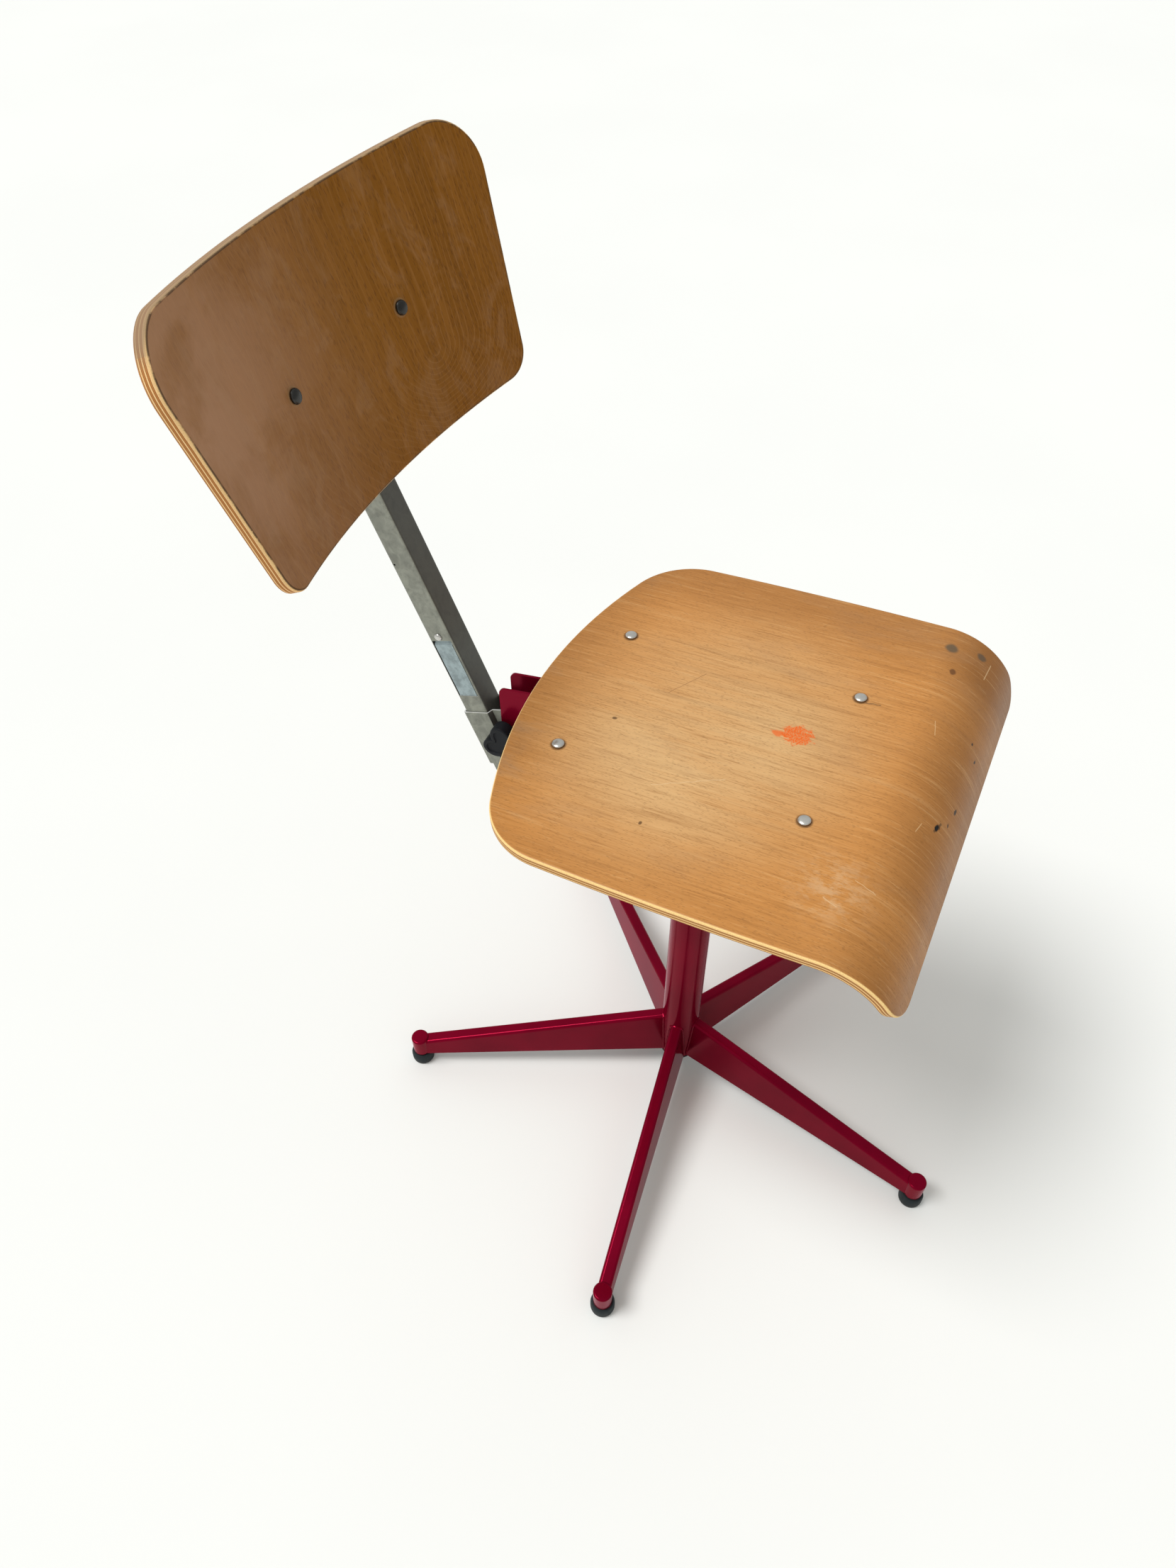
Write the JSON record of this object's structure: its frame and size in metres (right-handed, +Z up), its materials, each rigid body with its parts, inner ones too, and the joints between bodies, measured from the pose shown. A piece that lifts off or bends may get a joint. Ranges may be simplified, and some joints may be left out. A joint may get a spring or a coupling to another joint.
{
  "type": "drafting chair",
  "caption": "Drafting chair: bent plywood seat and curved plywood backrest on a five-leg steel pedestal, with swivel, seat height, back tilt and back height adjustment.",
  "frame": {"origin": "middle of the chair's footprint, on the floor", "axes": "+Z up, -Y the way the sitter faces, +X the sitter's left"},
  "size_m": [0.6322, 0.7286, 0.9917],
  "materials": {
    "red_paint": "gloss burgundy enamel",
    "black_plastic": "moulded, satin",
    "rubber": "moulded, dull",
    "beech_seat": "satin lacquer, worn",
    "beech_back": "satin lacquer",
    "galvanised": "dull zinc coat",
    "zinc": "bluish zinc plate",
    "bright_steel": "nickel plate, satin"
  },
  "bodies": {
    "base": {"leg_1": "red_paint", "leg_2": "red_paint", "leg_3": "red_paint", "leg_4": "red_paint", "leg_5": "red_paint", "foot_boss_1": "red_paint", "foot_boss_2": "red_paint", "foot_boss_3": "red_paint", "foot_boss_4": "red_paint", "foot_boss_5": "red_paint", "glide_1": "rubber", "glide_2": "rubber", "glide_3": "rubber", "glide_4": "rubber", "glide_5": "rubber", "column": "red_paint", "column_foot_plug": "black_plastic", "column_bush": "black_plastic", "clamp_boss": "red_paint"},
    "height_clamp": {"height_clamp_screw": "bright_steel", "height_clamp_knob": "black_plastic"},
    "pillar": {"pillar": "bright_steel", "pillar_guide": "black_plastic", "swivel_spindle": "bright_steel", "thrust_washer": "zinc", "spindle_nut": "zinc"},
    "seat_frame": {"swivel_socket": "red_paint", "bracket_channel": "red_paint", "front_strap": "red_paint", "rear_strap": "red_paint", "seat": "beech_seat", "seat_screw_front_right": "bright_steel", "seat_screw_front_left": "bright_steel", "seat_screw_rear_right": "bright_steel", "seat_screw_rear_left": "bright_steel", "seat_nut_front_right": "zinc", "seat_nut_front_left": "zinc", "seat_nut_rear_right": "zinc", "seat_nut_rear_left": "zinc"},
    "back_carrier": {"back_carrier": "galvanised", "pivot_bolt": "bright_steel", "pivot_washer_left": "zinc", "pivot_washer_right": "zinc"},
    "tilt_knob": {"tilt_clamp_knob": "black_plastic"},
    "back_stem": {"back_stem": "galvanised", "detent_leaf": "zinc", "detent_rivet": "bright_steel", "stem_foot_plug": "black_plastic", "stem_top_plug": "black_plastic", "back_block": "galvanised", "back_plate": "galvanised", "back_screw_right": "bright_steel", "back_screw_left": "bright_steel", "back_nut_right": "zinc", "back_nut_left": "zinc", "backrest": "beech_back"}
  },
  "joints": [
    {"name": "seat_height", "type": "slide", "parent": "base", "child": "pillar", "axis": [0, 0, 1], "range_m": [-0.1, 0.13]},
    {"name": "height_knob_turn", "type": "hinge", "parent": "base", "child": "height_clamp", "pos_m": [0.01729, -0.03266, 0.372], "axis": [1, 0, 0], "range_deg": [0, 270]},
    {"name": "seat_swivel", "type": "hinge", "parent": "pillar", "child": "seat_frame", "pos_m": [0.01729, -0.03266, 0.5], "axis": [0, 0, 1], "continuous": true},
    {"name": "back_tilt", "type": "hinge", "parent": "seat_frame", "child": "back_carrier", "pos_m": [0.01729, 0.16622, 0.508], "axis": [1, 0, 0], "range_deg": [-12, 8]},
    {"name": "tilt_knob_turn", "type": "hinge", "parent": "back_carrier", "child": "tilt_knob", "pos_m": [0.01729, 0.16622, 0.508], "axis": [-1, 0, 0], "range_deg": [0, 270]},
    {"name": "back_height", "type": "slide", "parent": "back_carrier", "child": "back_stem", "axis": [0, 0.3535, 0.9354], "range_m": [-0.08, 0.055]}
  ]
}
